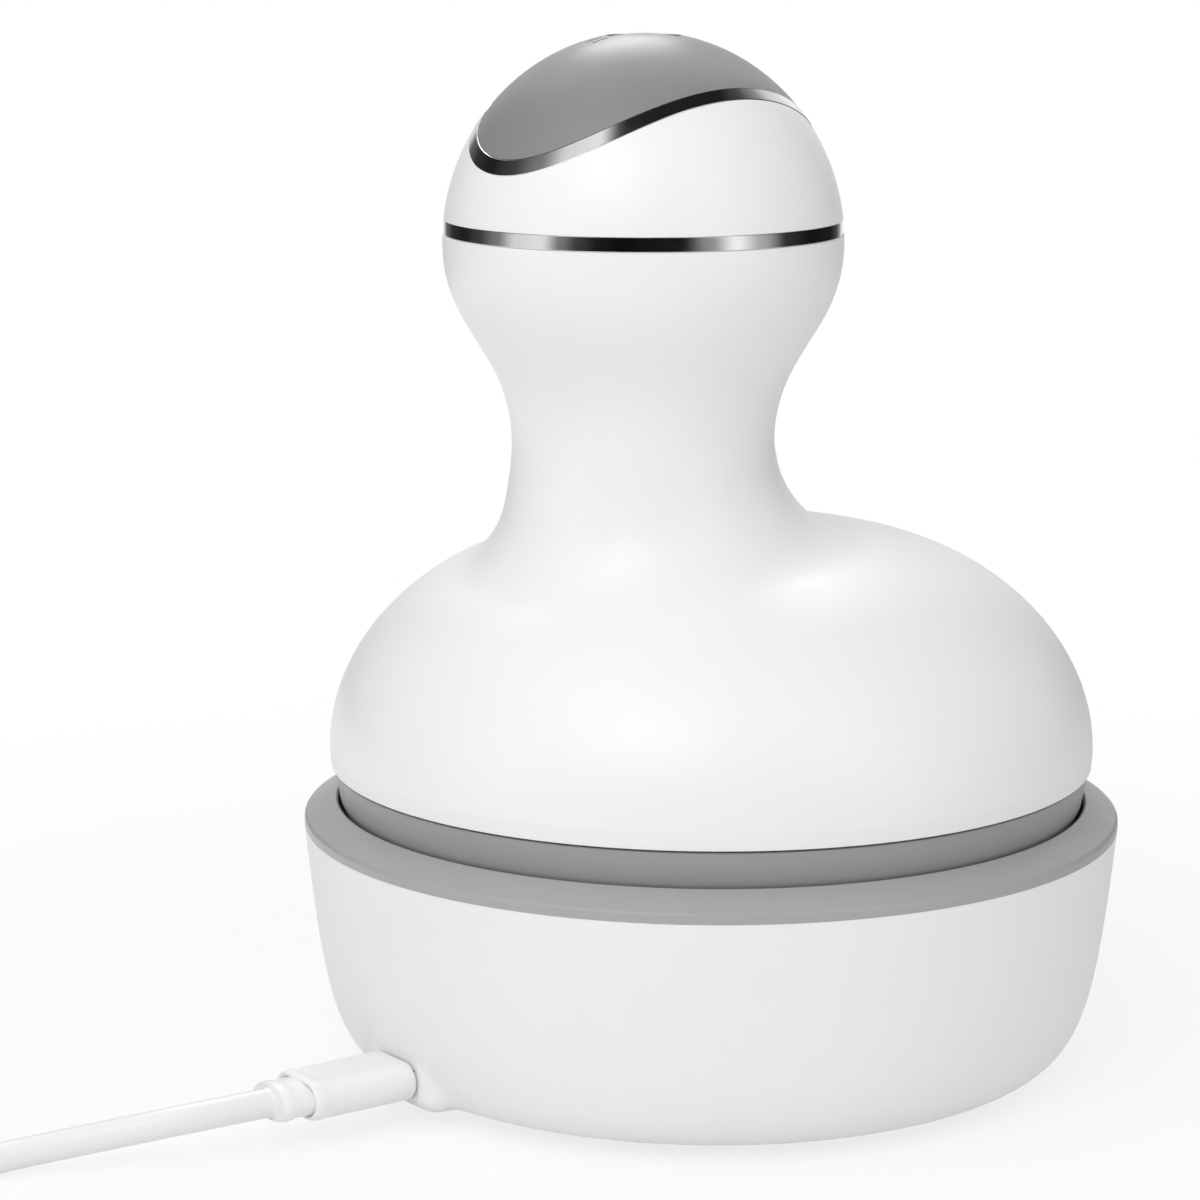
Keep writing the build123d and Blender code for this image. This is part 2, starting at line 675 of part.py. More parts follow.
def head_pad(x, y, turn):
    """Silicone pad with two rings of fingers and a moulded hub."""
    low = pad_top - pad_thickness
    body = disc(pad_radius, low, pad_top)
    body = fillet(body.edges(), 1.0)
    body += disc(pad_hub_radius, pad_top - 0.5, pad_top + pad_hub_height)
    places = on_circle(outer_fingers, outer_finger_circle, turn)
    places += on_circle(inner_fingers, inner_finger_circle, turn + 22.5)
    body += [finger(px, py, low - finger_length, low + 0.6) for px, py in places]
    body -= disc(shaft_radius, low + 1.0, pad_top + 5)
    return Pos(x, y, 0) * body


for i, (x, y) in enumerate(head_places, 1):
    pad_low = pad_top - pad_thickness + 1.0
    gear_phase = 0.0 if i in (1, 3) else 180 / head_teeth
    gear = involute_gear(head_teeth, gear_module, gear_width, gear_level, shaft_radius, gear_phase)
    gear += ring(shaft_radius + gear_hub_wall, shaft_radius,
                 plate_top + bush_flange_thickness + 0.1, gear_level + 0.5)
    keep_on_massager(f"head_gear_{i}", Pos(x, y, 0) * gear)
    keep_on_massager(f"head_shaft_{i}", disc(shaft_radius, pad_low, chassis_top - 0.2, x, y))
    keep_on_massager(f"head_pad_{i}", head_pad(x, y, 22.5))
drive_phase = 45 + 180 / drive_wheel_teeth
keep_on_massager("drive_wheel", Pos(*driven_head, 0) * involute_gear(
    drive_wheel_teeth, drive_module, drive_width, drive_level, shaft_radius, drive_phase))

# ---- charging lead --------------------------------------------------------------------------------
plug_front = socket_face - plug_gap
plug_back = plug_front - plug_length
cord_start = plug_back - collar_length
plug = Pos(plug_back, 0, socket_height) * stadium(plug_width, plug_thickness, plug_length)
plug = fillet(plug.edges().group_by(Axis.X)[0] + plug.edges().group_by(Axis.X)[-1], 0.5)
keep("plug_grip", plug)
neck = Pos(cord_start, 0, socket_height) * stadium(collar_width, collar_thickness, collar_length)
keep("plug_collar", fillet(neck.edges().group_by(Axis.X)[0], 0.8))
keep("plug_tip", block(plug_front, plug_front + tip_length + plug_gap, -tip_width / 2,
                       tip_width / 2, socket_height - tip_thickness / 2,
                       socket_height + tip_thickness / 2))

cord_radius = cord_diameter / 2
floor_line = cord_radius + floor_gap
lead_route = [(cord_start, 0, socket_height), (-80.5, 0.1, 6.3), (-91.5, 7.6, 3.6),
              (-103.5, 12.4, floor_line), (-115.5, 8.4, floor_line),
              (coil_centre[0], coil_centre[1] - coil_outer_turn, floor_line)]
layer_two = floor_line + cord_diameter
usb_height = usb_grip_thickness / 2 + floor_gap
usb_x = coil_centre[0] - coil_outer_turn
usb_back = coil_centre[1] + 26.0
tail_route = [(usb_x, coil_centre[1], layer_two), (usb_x + 0.1, coil_centre[1] + 9, layer_two - 0.3),
              (usb_x - 0.3, coil_centre[1] + 17.5, usb_height + 0.3), (usb_x, usb_back, usb_height)]


def corner_radii(route):
    """Arc at each corner: 0.45 of the shorter run over the tangent of half the turn."""
    radii = []
    for a, b, c in zip(route, route[1:], route[2:]):
        run_in, run_out = Vector(*b) - Vector(*a), Vector(*c) - Vector(*b)
        turn = run_in.get_angle(run_out)
        shorter = min(run_in.length, run_out.length)
        radii.append(0.45 * shorter / tan(radians(turn / 2)))
    return radii


def cord_tube(name, route):
    """Round cord along straight runs joined by tangent arcs."""
    radii = corner_radii(route)
    path = FilletPolyline(*route, radius=radii)
    section = Plane(path @ 0, z_dir=path % 0) * Circle(cord_radius)
    tube = sweep(section, path=path)
    expected = pi * cord_radius ** 2 * path.length
    print(name, "radii", [round(r, 1) for r in radii], "length", round(path.length, 1),
          "volume ratio", round(tube.volume / expected, 4))
    keep(name, tube)
    return path.length


lead_length = cord_tube("cord_lead", lead_route)
tail_length = cord_tube("cord_tail", tail_route)
coil_length = coil_turns * pi * (coil_outer_turn + coil_inner_turn)
print("cord length", round(lead_length + tail_length + coil_length, 1))
coil = ring(coil_outer_turn + cord_radius, coil_inner_turn - cord_radius, floor_gap,
            floor_gap + coil_layers * cord_diameter, *coil_centre)
keep("cord_coil", fillet(coil.edges(), 1.2))
tie_width = coil_outer_turn - coil_inner_turn + cord_diameter + 2 * tie_wall
tie_top = coil_layers * cord_diameter + tie_wall + 0.1
tie_x = coil_centre[0] + (coil_outer_turn + coil_inner_turn) / 2
tie = block(tie_x - tie_width / 2, tie_x + tie_width / 2, coil_centre[1] - tie_length / 2,
            coil_centre[1] + tie_length / 2, 0.02, tie_top)
tie -= block(tie_x - tie_width / 2 + tie_wall, tie_x + tie_width / 2 - tie_wall,
             coil_centre[1] - tie_length, coil_centre[1] + tie_length, 0.5, tie_top - tie_wall)
keep("cord_tie", tie)

usb_turn = Pos(usb_x, usb_back, usb_height) * Rot(0, 0, 90)
relief = usb_turn * stadium(relief_width, relief_thickness, relief_length)
keep("usb_relief", fillet(relief.edges().group_by(Axis.Y)[0], 0.8))
grip = Box(usb_grip_length, usb_grip_width, usb_grip_thickness)
grip = usb_turn * Pos(relief_length + usb_grip_length / 2, 0, 0) * grip
keep("usb_grip", fillet(grip.edges(), 1.2))
usb_inner_width = usb_shell_width - 2 * usb_shell_wall
usb_tip = Box(usb_shell_length, usb_shell_width, usb_shell_thickness)
usb_tip -= Pos(1.5, 0, (usb_tongue_height - 2 * usb_shell_wall) / 2 + 0.05) * Box(
    usb_shell_length, usb_inner_width, usb_shell_thickness - usb_tongue_height)
tip_place = Pos(relief_length + usb_grip_length + usb_shell_length / 2, 0, 0)
keep("usb_tip", usb_turn * tip_place * usb_tip)

# ---- write every piece -----------------------------------------------------------------------------
for name, solid in nodes.items():
    export_step(solid, f"parts/{name}.step")
print(len(nodes), "pieces")
turned_places = [(round(x * cos(radians(seat_turn)) - y * sin(radians(seat_turn)), 3),
                  round(x * sin(radians(seat_turn)) + y * cos(radians(seat_turn)), 3))
                 for x, y in head_places + [reduction_place, motor_place, (-handle_offset, 0)]]
print("heads 1-4, reduction, motor, handle:", turned_places)
print("ratios: reduction", -drive_wheel_teeth / drive_pinion_teeth,
      "motor", drive_wheel_teeth / drive_pinion_teeth * reduction_teeth / motor_pinion_teeth)
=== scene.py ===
import math
import bpy
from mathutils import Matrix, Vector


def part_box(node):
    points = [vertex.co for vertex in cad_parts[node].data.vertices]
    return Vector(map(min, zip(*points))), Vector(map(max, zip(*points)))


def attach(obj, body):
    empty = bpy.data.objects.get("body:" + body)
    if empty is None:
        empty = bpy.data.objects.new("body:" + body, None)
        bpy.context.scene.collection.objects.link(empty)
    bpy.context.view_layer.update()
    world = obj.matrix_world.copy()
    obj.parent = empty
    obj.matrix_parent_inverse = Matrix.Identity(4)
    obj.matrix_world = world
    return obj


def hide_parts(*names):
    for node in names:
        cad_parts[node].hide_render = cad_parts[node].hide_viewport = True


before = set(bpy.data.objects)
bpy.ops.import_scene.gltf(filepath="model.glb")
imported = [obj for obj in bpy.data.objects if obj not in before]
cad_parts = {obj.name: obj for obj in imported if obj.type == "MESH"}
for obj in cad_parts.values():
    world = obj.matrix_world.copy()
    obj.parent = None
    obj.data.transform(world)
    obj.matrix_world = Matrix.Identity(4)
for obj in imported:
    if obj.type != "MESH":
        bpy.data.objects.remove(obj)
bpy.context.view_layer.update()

# Camera: it stands in front and a little above, 0.49 m from the dock's axis, on the side of the
# charging socket. A long lens keeps the upright lines of the handle nearly parallel.
mm = 0.001
camera_bearing = -128.0            # where the camera stands, degrees round the dock from +X
camera_reach, camera_height = 0.489404644, 0.157293137
camera_pan, camera_tilt = -0.0300141787, 0.192860907
camera = bpy.data.cameras.new("studio_camera")
camera.sensor_width = 36
camera.lens = 113.121
camera.clip_start = 0.01
camera_stand = bpy.data.objects.new("studio_camera", camera)
bpy.context.scene.collection.objects.link(camera_stand)
camera_way = math.radians(camera_bearing)
camera_stand.location = (camera_reach * math.cos(camera_way), camera_reach * math.sin(camera_way),
                         camera_height)
camera_stand.rotation_euler = (math.pi / 2 - camera_tilt, 0,
                               camera_way + math.pi / 2 - camera_pan)
bpy.context.scene.camera = camera_stand

# Charging lead: round white cord with a soft plastic jacket, 3.7 mm thick, which leaves the plug,
# drops to the table and is wound into a flat coil of two layers before it runs on to its USB plug.
lead_thickness = 3.7
lead_height = 1.9                  # middle of the cord where it lies on the table
coil_x, coil_y = -127.0, 32.6
coil_outer, coil_pitch = 24.6, 3.9
coil_points = 16                   # points of the cord's line in one turn
corner_cut = 0.9808                # a turn's line runs inside its points by this share
lower_turns, climb_turns, upper_turns = 3.0, 0.25, 3.0
lead_points = [(-69.3, 0, 6.1), (-80.5, 0.1, 6.3), (-91.5, 7.6, 3.6),
               (-103.5, 12.4, lead_height), (-115.5, 8.4, lead_height)]
for step in range(int((lower_turns + climb_turns + upper_turns) * coil_points) + 1):
    turn = step / coil_points
    wound_in = min(turn, lower_turns) - max(turn - lower_turns - climb_turns, 0.0)
    radius = (coil_outer - coil_pitch * wound_in) / corner_cut
    climb = min(max((turn - lower_turns) / climb_turns, 0.0), 1.0)
    way = -math.pi / 2 - 2 * math.pi * turn
    lead_points.append((coil_x + radius * math.cos(way), coil_y + radius * math.sin(way),
                        lead_height + lead_thickness * climb))
lead_points += [(-151.5, 41.6, 5.3), (-151.9, 50.1, 4.15), (-151.6, 58.6, 3.85)]
lead_curve = bpy.data.curves.new("charging_lead", "CURVE")
lead_curve.dimensions = "3D"
lead_curve.bevel_depth = 1.0       # the tube's radius is this times each point's own radius
lead_curve.bevel_resolution = 6
lead_curve.resolution_u = 6
lead_line = lead_curve.splines.new("NURBS")
lead_line.points.add(len(lead_points) - 1)
for point, (x, y, z) in zip(lead_line.points, lead_points):
    point.co = (x * mm, y * mm, z * mm, 1)
    point.radius = lead_thickness / 2 * mm
lead_line.order_u = 3
lead_line.use_endpoint_u = True
charging_lead = bpy.data.objects.new("charging_lead", lead_curve)
bpy.context.scene.collection.objects.link(charging_lead)
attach(charging_lead, "usb_cable")
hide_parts("cord_lead", "cord_coil", "cord_tail")


def reckoned(tree, operation, *values):
    """Math node of a node tree. Each value is a number, or the output that feeds it."""
    sum_node = tree.nodes.new("ShaderNodeMath")
    sum_node.operation = operation
    for entry, value in zip(sum_node.inputs, values):
        if isinstance(value, bpy.types.NodeSocket):
            tree.links.new(value, entry)
        else:
            entry.default_value = value
    return sum_node.outputs["Value"]


def ranged(tree, value, low, high, to_low=0.0, to_high=1.0, soft=False):
    """Scales what lies from low to high to lie from to_low to to_high, with soft ends if asked."""
    scale = tree.nodes.new("ShaderNodeMapRange")
    if soft:
        scale.interpolation_type = "SMOOTHSTEP"
    for label, number in (("From Min", low), ("From Max", high), ("To Min", to_low),
                          ("To Max", to_high)):
        scale.inputs[label].default_value = number
    tree.links.new(value, scale.inputs["Value"])
    return scale.outputs["Result"]


def noise(tree, place, scale, detail):
    """Noise over a piece, at a scale that is a number or an output."""
    clouds = tree.nodes.new("ShaderNodeTexNoise")
    clouds.inputs["Detail"].default_value = detail
    tree.links.new(place, clouds.inputs["Vector"])
    if isinstance(scale, bpy.types.NodeSocket):
        tree.links.new(scale, clouds.inputs["Scale"])
    else:
        clouds.inputs["Scale"].default_value = scale
    return clouds.outputs["Fac"]


# Skin of the moulded pieces: the colour clouds slowly towards its shade and has a few specks, the
# gloss varies as on a handled piece, and the height is the fine grain of the mould.
skin = bpy.data.node_groups.new("moulded_skin", "ShaderNodeTree")
for label, kind in (("Colour", "NodeSocketColor"), ("Shade", "NodeSocketColor"),
                    ("Roughness", "NodeSocketFloat"), ("Grain", "NodeSocketFloat"),
                    ("Specks", "NodeSocketFloat")):
    skin.interface.new_socket(name=label, in_out="INPUT", socket_type=kind)
for label, kind in (("Colour", "NodeSocketColor"), ("Roughness", "NodeSocketFloat"),
                    ("Height", "NodeSocketFloat")):
    skin.interface.new_socket(name=label, in_out="OUTPUT", socket_type=kind)
skin_in = skin.nodes.new("NodeGroupInput").outputs
skin_out = skin.nodes.new("NodeGroupOutput").inputs
skin_place = skin.nodes.new("ShaderNodeTexCoord").outputs["Object"]
speck_scale, speck_core, speck_rim = 95, 0.018, 0.03
cloud_scale, cloud_low, cloud_high, cloud_share = 38, 0.35, 0.75, 0.35
handling_scale, gloss_change = 210, 0.16
speck_cells = skin.nodes.new("ShaderNodeTexVoronoi")
speck_cells.inputs["Scale"].default_value = speck_scale
skin.links.new(skin_place, speck_cells.inputs["Vector"])
specks = reckoned(skin, "MULTIPLY", skin_in["Specks"], ranged(
    skin, speck_cells.outputs["Distance"], speck_core, speck_rim, 1, 0))
clouding = ranged(skin, noise(skin, skin_place, cloud_scale, 3), cloud_low, cloud_high,
                  0, cloud_share)
tint = skin.nodes.new("ShaderNodeMix")
tint.data_type = "RGBA"
tint_colours = [socket for socket in tint.inputs if socket.type == "RGBA"]
tint_result = [socket for socket in tint.outputs if socket.type == "RGBA"][0]
gloss = reckoned(skin, "MULTIPLY_ADD", noise(skin, skin_place, handling_scale, 5), gloss_change,
                 reckoned(skin, "SUBTRACT", skin_in["Roughness"], gloss_change / 2))
for start, end in ((reckoned(skin, "MAXIMUM", clouding, specks), tint.inputs[0]),
                   (skin_in["Colour"], tint_colours[0]), (skin_in["Shade"], tint_colours[1]),
                   (tint_result, skin_out["Colour"]), (gloss, skin_out["Roughness"]),
                   (noise(skin, skin_place, skin_in["Grain"], 4), skin_out["Height"])):
    skin.links.new(start, end)


def moulded(name, colour, shade, roughness, grain_scale, grain_depth, specks=0.0, metal=0.0):
    """Material of a moulded piece: a clouded colour, handled gloss and a fine grain."""
    material = bpy.data.materials.new(name)
    material.use_nodes = True
    tree = material.node_tree
    surface = tree.nodes.new("ShaderNodeGroup")
    surface.node_tree = bpy.data.node_groups["moulded_skin"]
    surface.inputs["Colour"].default_value = (*colour, 1)
    surface.inputs["Shade"].default_value = (*shade, 1)
    surface.inputs["Roughness"].default_value = roughness
    surface.inputs["Grain"].default_value = grain_scale
    surface.inputs["Specks"].default_value = specks
    relief = tree.nodes.new("ShaderNodeBump")
    relief.inputs["Distance"].default_value = grain_depth
    shader = tree.nodes["Principled BSDF"]
    shader.inputs["Metallic"].default_value = metal
    tree.links.new(surface.outputs["Colour"], shader.inputs["Base Color"])
    tree.links.new(surface.outputs["Roughness"], shader.inputs["Roughness"])
    tree.links.new(surface.outputs["Height"], relief.inputs["Height"])
    tree.links.new(relief.outputs["Normal"], shader.inputs["Normal"])
    return material


def cover(material, *pieces):
    """Gives pieces, or CAD nodes by their names, one material all over."""
    for piece in pieces:
        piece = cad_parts[piece] if isinstance(piece, str) else piece
        piece.data.materials.clear()
        piece.data.materials.append(material)


jacket_white = moulded("soft_white_jacket", (0.86, 0.86, 0.86), (0.78, 0.78, 0.79), 0.45, 1500,
                       0.00001, 0.2)
cover(jacket_white, charging_lead)

# Plug of the lead: a rounded flat grip of the same soft plastic, moulded over the metal tip, with
# a smaller neck behind it. Both end in a rounded lip, and the neck closes softly on the cord.
plug_height = 6.1                  # the plug's middle over the table


def smoothed(piece):
    """Smooth shading that keeps sharp corners, and keeps flat faces flat beside small rounds."""
    bpy.ops.object.select_all(action="DESELECT")
    piece.select_set(True)
    bpy.context.view_layer.objects.active = piece
    bpy.ops.object.shade_smooth_by_angle(angle=math.radians(35))
    flatness = piece.modifiers.new("flatness", "WEIGHTED_NORMAL")
    flatness.keep_sharp = True
    bpy.ops.object.modifier_apply(modifier="flatness")
    return piece


def lipped(name, along, middle, height, stations):
    """Flat rounded body along X or Y, from its rings of (place, width, thickness) in mm."""
    bpy.ops.object.select_all(action="DESELECT")
    first, width, thickness = stations[0]
    runs_x = along == "X"
    spot = (first, middle, height) if runs_x else (middle, first, height)
    bpy.ops.mesh.primitive_circle_add(
        vertices=64, radius=thickness / 2 * mm, fill_type="NGON",
        location=[value * mm for value in spot],
        rotation=(0, math.pi / 2, 0) if runs_x else (math.pi / 2, 0, 0))
    piece = bpy.context.object
    piece.name = name
    bpy.ops.object.transform_apply(location=True, rotation=True, scale=False)
    across = 1 if runs_x else 0
    for corner in piece.data.vertices:
        aside = corner.co[across] - middle * mm
        if abs(aside) > 1e-6:
            corner.co[across] += math.copysign((width - thickness) / 2 * mm, aside)
    bpy.ops.object.mode_set(mode="EDIT")
    bpy.ops.mesh.select_all(action="SELECT")
    for (place, width, thickness), (to, to_width, to_thickness) in zip(stations, stations[1:]):
        step = (to - place) * mm
        bpy.ops.mesh.extrude_region_move(
            TRANSFORM_OT_translate={"value": (step, 0, 0) if runs_x else (0, step, 0)})
        wider, thicker = to_width / width, to_thickness / thickness
        centre = (to, middle, height) if runs_x else (middle, to, height)
        bpy.ops.transform.resize(value=(1, wider, thicker) if runs_x else (wider, 1, thicker),
                                 center_override=[value * mm for value in centre])
    bpy.ops.mesh.select_all(action="SELECT")
    bpy.ops.mesh.normals_make_consistent(inside=False)
    bpy.ops.object.mode_set(mode="OBJECT")
    return smoothed(piece)


plug_grip = lipped("charging_plug_grip", "X", 0, plug_height, [
    (-64.9, 7.8, 3.9), (-65.15, 8.6, 4.1), (-65.28, 9.2, 4.35), (-65.3, 9.5, 4.5),
    (-65.2, 9.9, 4.75), (-64.95, 10.2, 4.95), (-64.6, 10.36, 5.06), (-64.2, 10.4, 5.1),
    (-63.8, 10.34, 5.04), (-63.4, 10.2, 4.92), (-63.0, 10.2, 4.92), (-62.4, 10.3, 5.0),
    (-51.7, 10.3, 5.0), (-51.2, 10.24, 4.94), (-50.8, 10.05, 4.78), (-50.58, 9.8, 4.58),
    (-50.5, 9.4, 4.3)])
plug_neck = lipped("charging_plug_neck", "X", 0, plug_height, [
    (-69.95, 3.72, 3.72), (-69.6, 3.86, 3.78), (-69.4, 4.3, 3.86), (-69.3, 5.2, 3.94),
    (-69.28, 6.4, 4.02), (-69.32, 7.2, 4.18), (-69.28, 7.7, 4.35), (-69.15, 8.2, 4.6),
    (-68.9, 8.55, 4.8), (-68.55, 8.7, 4.88), (-68.1, 8.72, 4.9), (-67.6, 8.6, 4.78),
    (-67.2, 8.5, 4.62), (-66.8, 8.46, 4.55), (-65.0, 8.46, 4.55)])
for piece, node in ((plug_grip, "plug_grip"), (plug_neck, "plug_collar")):
    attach(piece, "usb_cable")
    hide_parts(node)
plug_white = moulded("plug_white", (0.88, 0.88, 0.88), (0.82, 0.82, 0.83), 0.4, 2600, 0.000006,
                     0.2)
cover(plug_white, plug_grip, plug_neck)
bright_steel = moulded("bright_steel", (0.66, 0.66, 0.67), (0.6, 0.6, 0.615), 0.3, 3000,
                       0.000004, 0.0, 1.0)
cover(bright_steel, "plug_tip", "usb_tip")

# USB plug at the far end: a grip of hard white plastic with softened edges and shallow panels, a
# ribbed strain relief behind it, and a folded steel shell with four gold contacts on its tongue.
usb_x, usb_height = -151.6, 3.85
usb_half_width, usb_near, usb_far, usb_low, usb_top = 7.7, 65.1, 90.1, 0.05, 7.65
usb_edge, panel_margin, panel_depth = 1.3, 2.2, 0.35
contact_near, contact_far, contact_low, contact_top = 93.5, 102.6, 3.7, 3.86
contact_half_width, contact_edge, contact_places = 0.5, 0.06, (-3.5, -1.0, 1.0, 3.5)


def block(name, low, high, edge, steps=3):
    """Box with rounded edges, from its lowest and highest corners in mm."""
    bpy.ops.object.select_all(action="DESELECT")
    centre = [(a + b) / 2 * mm for a, b in zip(low, high)]
    bpy.ops.mesh.primitive_cube_add(size=1, location=centre)
    piece = bpy.context.object
    piece.name = name
    piece.scale = [(b - a) * mm for a, b in zip(low, high)]
    bpy.ops.object.transform_apply(location=True, rotation=True, scale=True)
    bpy.ops.object.mode_set(mode="EDIT")
    bpy.ops.mesh.select_all(action="SELECT")
    bpy.ops.mesh.bevel(offset=edge * mm, segments=steps, profile=0.5, affect="EDGES")
    bpy.ops.mesh.select_all(action="SELECT")
    bpy.ops.mesh.normals_make_consistent(inside=False)
    bpy.ops.object.mode_set(mode="OBJECT")
    return smoothed(piece)


def copied(piece, name, start, end):
    """Copy of a piece, with its own mesh, moved as from start to end, both (x, y) in mm."""
    bpy.ops.object.select_all(action="DESELECT")
    piece.select_set(True)
    bpy.context.view_layer.objects.active = piece
    bpy.ops.object.duplicate(linked=False)
    twin = bpy.context.object
    twin.name = name
    twin.location = ((end[0] - start[0]) * mm, (end[1] - start[1]) * mm, 0)
    bpy.ops.object.transform_apply(location=True, rotation=True, scale=True)
    return twin


def joined(name, pieces):
    """One piece out of several that touch."""
    bpy.ops.object.select_all(action="DESELECT")
    for piece in pieces:
        piece.select_set(True)
    bpy.context.view_layer.objects.active = pieces[0]
    bpy.ops.object.join()
    pieces[0].name = name
    return pieces[0]


usb_relief = lipped("usb_strain_relief", "Y", usb_x, usb_height, [
    (59.2, 3.9, 3.8), (58.75, 4.6, 4.4), (58.6, 5.0, 4.6), (58.75, 5.5, 4.8), (60.2, 5.7, 4.9),
    (60.3, 5.2, 4.4), (60.9, 5.2, 4.4), (61.0, 6.1, 5.0), (62.3, 6.3, 5.2), (62.4, 5.7, 4.6),
    (63.0, 5.8, 4.6), (63.1, 6.8, 5.3), (65.2, 7.2, 5.6)])
usb_grip = block("usb_plug_grip", (usb_x - usb_half_width, usb_near, usb_low),
                 (usb_x + usb_half_width, usb_far, usb_top), usb_edge, 5)
bpy.ops.object.mode_set(mode="EDIT")
bpy.ops.mesh.select_all(action="DESELECT")
bpy.ops.object.mode_set(mode="OBJECT")
for face in usb_grip.data.polygons:
    face.select = abs(face.normal.x) > 0.99 or face.normal.z > 0.99
bpy.ops.object.mode_set(mode="EDIT")
bpy.ops.mesh.inset(thickness=panel_margin * mm, use_individual=True)
bpy.ops.mesh.inset(thickness=panel_depth * mm, depth=-panel_depth * mm, use_individual=True)
bpy.ops.object.mode_set(mode="OBJECT")
smoothed(usb_grip)
for piece, node in ((usb_relief, "usb_relief"), (usb_grip, "usb_grip")):
    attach(piece, "usb_cable")
    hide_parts(node)
    cover(plug_white, piece)
first_place = contact_places[0]
first_contact = block(
    "usb_contact", (usb_x + first_place - contact_half_width, contact_near, contact_low),
    (usb_x + first_place + contact_half_width, contact_far, contact_top), contact_edge, 2)
usb_contacts = joined("usb_contacts", [first_contact] + [
    copied(first_contact, "usb_contact", (first_place, 0), (place, 0))
    for place in contact_places[1:]])
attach(usb_contacts, "usb_cable")
gold_plate = moulded("gold_plate", (0.83, 0.62, 0.25), (0.7, 0.5, 0.18), 0.24, 3000, 0.000004,
                     0.0, 1.0)
cover(gold_plate, usb_contacts)

# Tie of the coil: a strip of soft grey rubber, 5 mm wide, closed round both layers of the cord
# and pressed onto itself on top.
tie_left, tie_right, tie_low, tie_top, tie_corner = -116.75, -99.75, 0.02, 7.85, 2.4
tie_near, tie_width, tie_wall = 30.1, 5.0, 0.45
tab_left, tab_right, tab_top, tab_sunk, tab_edge = -114.5, -103.5, 8.3, 0.05, 0.18
weld_gap = 2e-6                    # corners of a line that meet within this become one


def rounded(corners, steps=5):
    """Points of an outline whose corners of (across, up, radius) have true arcs."""
    outline = []
    for index, (across, up, radius) in enumerate(corners):
        if not radius:
            outline.append((across, up))
            continue
        before, after = corners[index - 1], corners[(index + 1) % len(corners)]
        into = (before[0] - across, before[1] - up)
        out = (after[0] - across, after[1] - up)
        into = [value / math.hypot(*into) for value in into]
        out = [value / math.hypot(*out) for value in out]
        half = math.acos(into[0] * out[0] + into[1] * out[1]) / 2
        middle = (into[0] + out[0], into[1] + out[1])
        away = radius / math.sin(half) / math.hypot(*middle)
        centre = (across + middle[0] * away, up + middle[1] * away)
        back = radius / math.tan(half)
        start = math.atan2(up + into[1] * back - centre[1], across + into[0] * back - centre[0])
        end = math.atan2(up + out[1] * back - centre[1], across + out[0] * back - centre[0])
        sweep = (end - start + math.pi) % (2 * math.pi) - math.pi
        for step in range(steps + 1):
            way = start + sweep * step / steps
            outline.append((centre[0] + radius * math.cos(way),
                            centre[1] + radius * math.sin(way)))
    return outline


def drawn(name, outline, middle=(0, 0)):
    """Line of joined edges in the upright plane through the middle, left open in edit mode."""
    bpy.ops.object.select_all(action="DESELECT")
    across, up = outline[0]
    bpy.ops.mesh.primitive_plane_add(
        size=mm, location=((across + middle[0]) * mm, middle[1] * mm, up * mm))
    piece = bpy.context.object
    piece.name = name
    bpy.ops.object.transform_apply(location=True, rotation=True, scale=True)
    bpy.ops.object.mode_set(mode="EDIT")
    bpy.ops.mesh.select_all(action="SELECT")
    bpy.ops.mesh.merge(type="CENTER")
    for (across, up), (to_across, to_up) in zip(outline, outline[1:]):
        bpy.ops.mesh.extrude_region_move(TRANSFORM_OT_translate={
            "value": ((to_across - across) * mm, 0, (to_up - up) * mm)})
    bpy.ops.mesh.select_all(action="SELECT")
    return piece


loop_outline = rounded([(tie_left, tie_low, tie_corner), (tie_right, tie_low, tie_corner),
                        (tie_right, tie_top, tie_corner), (tie_left, tie_top, tie_corner)])
tie_loop = drawn("coil_tie_loop", loop_outline + loop_outline[:1], (0, tie_near))
bpy.ops.mesh.remove_doubles(threshold=weld_gap)
bpy.ops.mesh.extrude_region_move(TRANSFORM_OT_translate={"value": (0, tie_width * mm, 0)})
bpy.ops.mesh.select_all(action="SELECT")
bpy.ops.mesh.normals_make_consistent(inside=False)
bpy.ops.object.mode_set(mode="OBJECT")
wall = tie_loop.modifiers.new("wall", "SOLIDIFY")
wall.thickness = tie_wall * mm
wall.offset = -1
bpy.ops.object.modifier_apply(modifier="wall")
tie_tab = block("coil_tie_tab", (tab_left, tie_near, tie_top - tab_sunk),
                (tab_right, tie_near + tie_width, tab_top), tab_edge)
coil_tie = smoothed(joined("coil_tie", [tie_loop, tie_tab]))
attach(coil_tie, "usb_cable")
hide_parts("cord_tie")
rubber_and_painted_shade = moulded("rubber_and_painted_shade", (0.075, 0.075, 0.08), (0.11, 0.11, 0.115), 0.62,
                           2200, 0.00003)
cover(rubber_and_painted_shade, coil_tie)

# Dock base: a flat white plate, closed from below with four steel screws, that stands on four
# pressed-in rubber feet with a rounded tread.
dock_white = moulded("dock_white", (0.885, 0.885, 0.89), (0.84, 0.84, 0.85), 0.46, 3200,
                     0.000005, 0.25)
cover(dock_white, "dock_base_plate")
cover(bright_steel, "base_screws")
foot_spots = [(33, 0), (0, 33), (-33, 0), (0, -33)]
foot_outline = rounded([(0, 0.14, 0), (2.6, 0.14, 0), (3.0, 0, 0), (4.0, 0, 0.3), (4.0, 0.9, 0),
                        (0, 0.9, 0)], 4)


